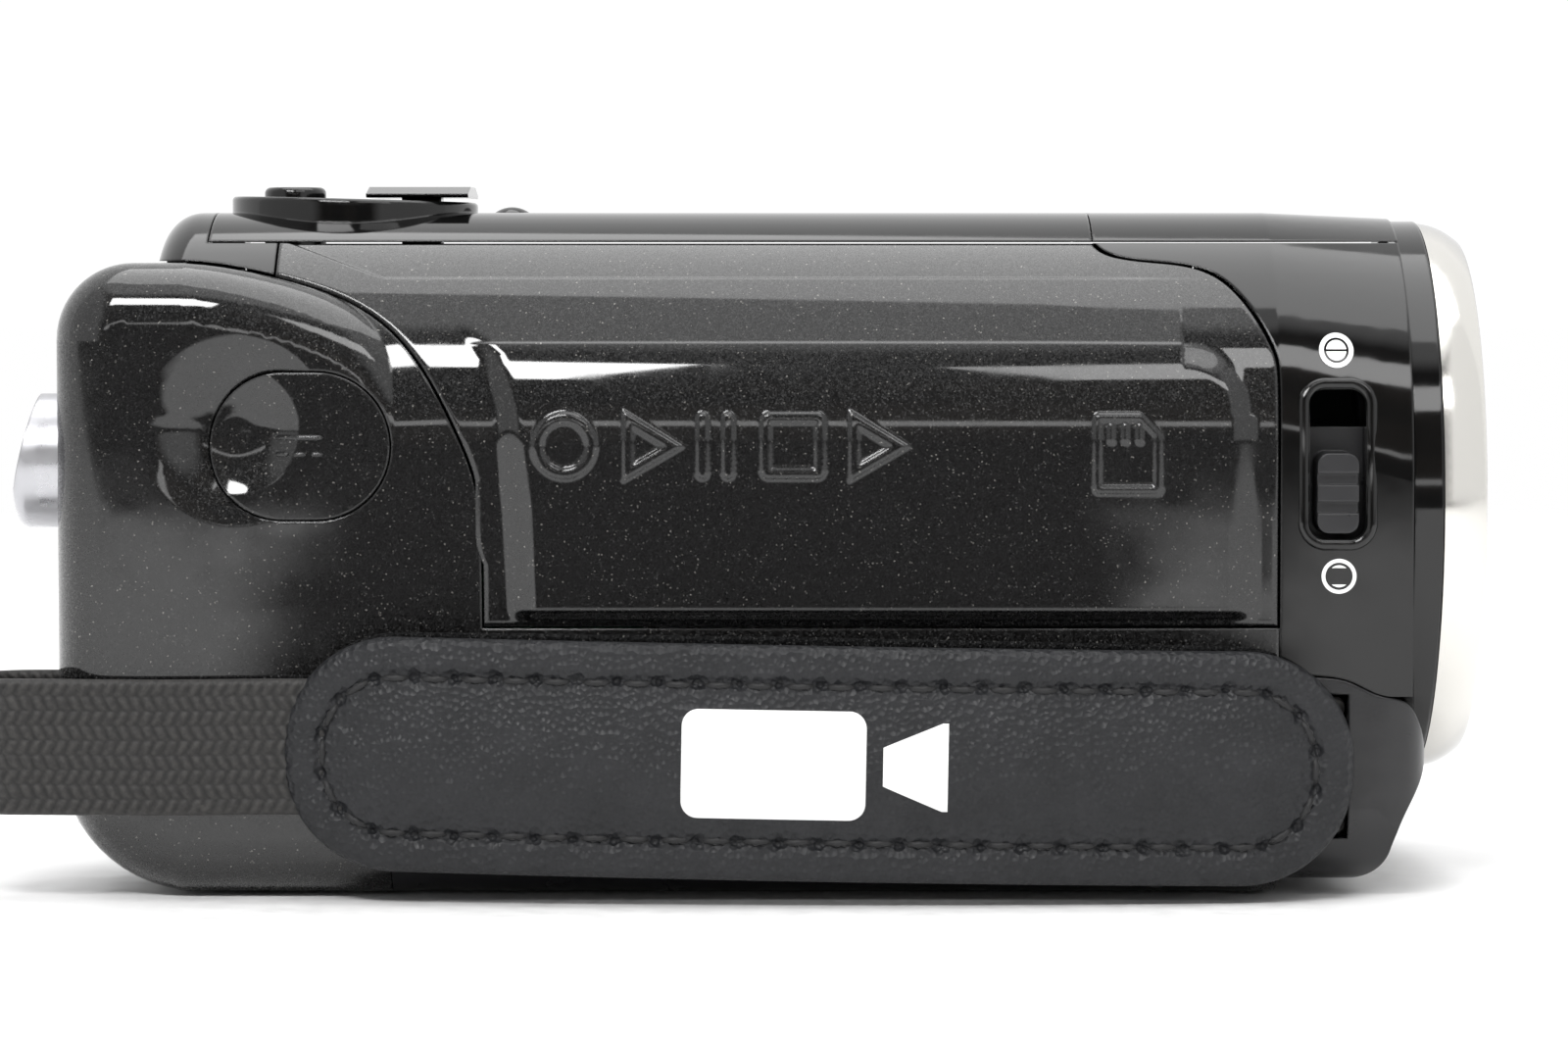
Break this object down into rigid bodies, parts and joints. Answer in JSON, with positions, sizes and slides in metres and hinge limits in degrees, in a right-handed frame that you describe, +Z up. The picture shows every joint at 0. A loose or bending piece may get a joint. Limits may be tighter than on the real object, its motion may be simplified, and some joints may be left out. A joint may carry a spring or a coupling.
{
  "type": "pocket camcorder",
  "caption": "Pocket video camera with a fold-out monitor, sliding lens cover, removable battery, hinged card and power-socket covers and a padded hand strap.",
  "frame": {"origin": "centre of the tripod socket's mouth, on the flat base", "axes": "+X forwards along the lens axis, +Y to the monitor side, -Y to the hand-strap side, +Z up"},
  "size_m": [0.1191, 0.0507, 0.0555],
  "materials": {
    "gloss_black": "high gloss moulding",
    "flake_black": "gloss with fine metallic flake",
    "satin_black": "satin moulding",
    "charcoal_plastic": "fine texture",
    "bright_chrome": "polished",
    "satin_silver": "satin silver paint",
    "pad_leather": "fine grain, stitched edge",
    "black_webbing": "braided chevron weave",
    "steel": "plain",
    "zinc": "cast",
    "gold_contact": "plated",
    "circuit_board": "solder-masked board",
    "clear_glass": "coated lens glass",
    "screen_glass": "dark display glass",
    "white_diffuser": "light guide in a white tray"
  },
  "bodies": {
    "camera_body": {"top_cover": "gloss_black", "front_top_cover": "gloss_black", "rear_bezel": "gloss_black", "side_panel": "flake_black", "right_housing": "flake_black", "barrel_cover": "gloss_black", "left_housing": "gloss_black", "base_cover": "satin_black", "front_lower_cover": "satin_black", "front_ring": "gloss_black", "lens_ring": "bright_chrome", "lens_dish": "satin_black", "shutter_plate": "satin_black", "lens_barrel": "charcoal_plastic", "front_lens": "clear_glass", "guide_rods": "steel", "lens_motors": "steel", "image_sensor": "screen_glass", "sensor_board": "circuit_board", "main_board": "circuit_board", "side_sockets": "steel", "power_board": "circuit_board", "power_socket": "charcoal_plastic", "speaker": "charcoal_plastic", "card_socket": "steel", "microphones": "steel", "tripod_nut": "zinc", "battery_bay": "satin_black", "battery_contacts": "gold_contact", "status_lamps": "clear_glass", "card_door_pin": "steel", "monitor_hinge_pin": "steel", "grip_pad": "pad_leather", "rear_webbing": "black_webbing", "front_webbing": "black_webbing", "rear_strap_bar": "steel", "front_strap_bar": "steel", "base_screws": "steel"},
    "monitor": {"monitor_back": "gloss_black", "monitor_bezel": "satin_black", "display_glass": "screen_glass", "backlight": "white_diffuser", "monitor_hinge_arm": "zinc"},
    "battery_pack": {"battery": "charcoal_plastic"},
    "latch": {"battery_latch": "charcoal_plastic"},
    "lens_cover_switch": {"lens_switch": "charcoal_plastic"},
    "upper_blade": {"upper_shutter_blade": "satin_black"},
    "lower_blade": {"lower_shutter_blade": "satin_black"},
    "snapshot_key": {"snapshot_button": "gloss_black"},
    "zoom_rocker": {"zoom_lever": "gloss_black"},
    "start_stop_key": {"start_stop_button": "satin_silver"},
    "socket_flap": {"socket_cover": "flake_black"},
    "card_flap": {"card_door": "satin_black"},
    "power_key": {"power_button": "charcoal_plastic"},
    "mode_key": {"mode_button": "charcoal_plastic"},
    "info_key": {"info_button": "charcoal_plastic"},
    "zoom_unit": {"zoom_carriage": "charcoal_plastic", "zoom_lens": "clear_glass"},
    "focus_unit": {"focus_carriage": "charcoal_plastic", "focus_lens": "clear_glass"}
  },
  "joints": [
    {"name": "monitor_open", "type": "hinge", "parent": "camera_body", "child": "monitor", "pos_m": [0.031, 0.0201, 0.03035], "axis": [0, 0, -1], "range_deg": [0, 90]},
    {"name": "lens_cover_slide", "type": "slide", "parent": "camera_body", "child": "lens_cover_switch", "axis": [0, 0, 1], "range_m": [0, 0.0044]},
    {"name": "upper_blade_slide", "type": "slide", "parent": "camera_body", "child": "upper_blade", "axis": [0, 0, -1], "range_m": [0, 0.0094]},
    {"name": "lower_blade_slide", "type": "slide", "parent": "camera_body", "child": "lower_blade", "axis": [0, 0, 1], "range_m": [0, 0.0094]},
    {"name": "zoom_rocker_slide", "type": "slide", "parent": "camera_body", "child": "zoom_rocker", "axis": [0, 1, 0], "range_m": [-0.0018, 0.0018]},
    {"name": "snapshot_press", "type": "slide", "parent": "camera_body", "child": "snapshot_key", "axis": [0, 0, -1], "range_m": [0, 0.0006]},
    {"name": "start_stop_press", "type": "slide", "parent": "camera_body", "child": "start_stop_key", "axis": [1, 0, 0], "range_m": [0, 0.0008]},
    {"name": "socket_cover_open", "type": "hinge", "parent": "camera_body", "child": "socket_flap", "pos_m": [-0.0314, -0.0225, 0.0352], "axis": [0, 0, 1], "range_deg": [0, 105]},
    {"name": "card_door_open", "type": "hinge", "parent": "camera_body", "child": "card_flap", "pos_m": [0.002, -0.0118, 0.0011], "axis": [1, 0, 0], "range_deg": [0, 90]},
    {"name": "battery_out", "type": "slide", "parent": "camera_body", "child": "battery_pack", "axis": [-1, 0, 0], "range_m": [0, 0.024]},
    {"name": "battery_release", "type": "slide", "parent": "camera_body", "child": "latch", "axis": [1, 0, 0], "range_m": [0, 0.0025]},
    {"name": "power_press", "type": "slide", "parent": "camera_body", "child": "power_key", "axis": [0, -1, 0], "range_m": [0, 0.0004]},
    {"name": "mode_press", "type": "slide", "parent": "camera_body", "child": "mode_key", "axis": [0, -1, 0], "range_m": [0, 0.0004]},
    {"name": "info_press", "type": "slide", "parent": "camera_body", "child": "info_key", "axis": [0, -1, 0], "range_m": [0, 0.0004]},
    {"name": "zoom_travel", "type": "slide", "parent": "camera_body", "child": "zoom_unit", "axis": [1, 0, 0], "range_m": [0, 0.016]},
    {"name": "focus_travel", "type": "slide", "parent": "camera_body", "child": "focus_unit", "axis": [1, 0, 0], "range_m": [0, 0.005]}
  ],
  "couplings": [
    {"joint": "upper_blade_slide", "follows": "lens_cover_slide", "ratio": 2.136},
    {"joint": "lower_blade_slide", "follows": "lens_cover_slide", "ratio": 2.136}
  ]
}
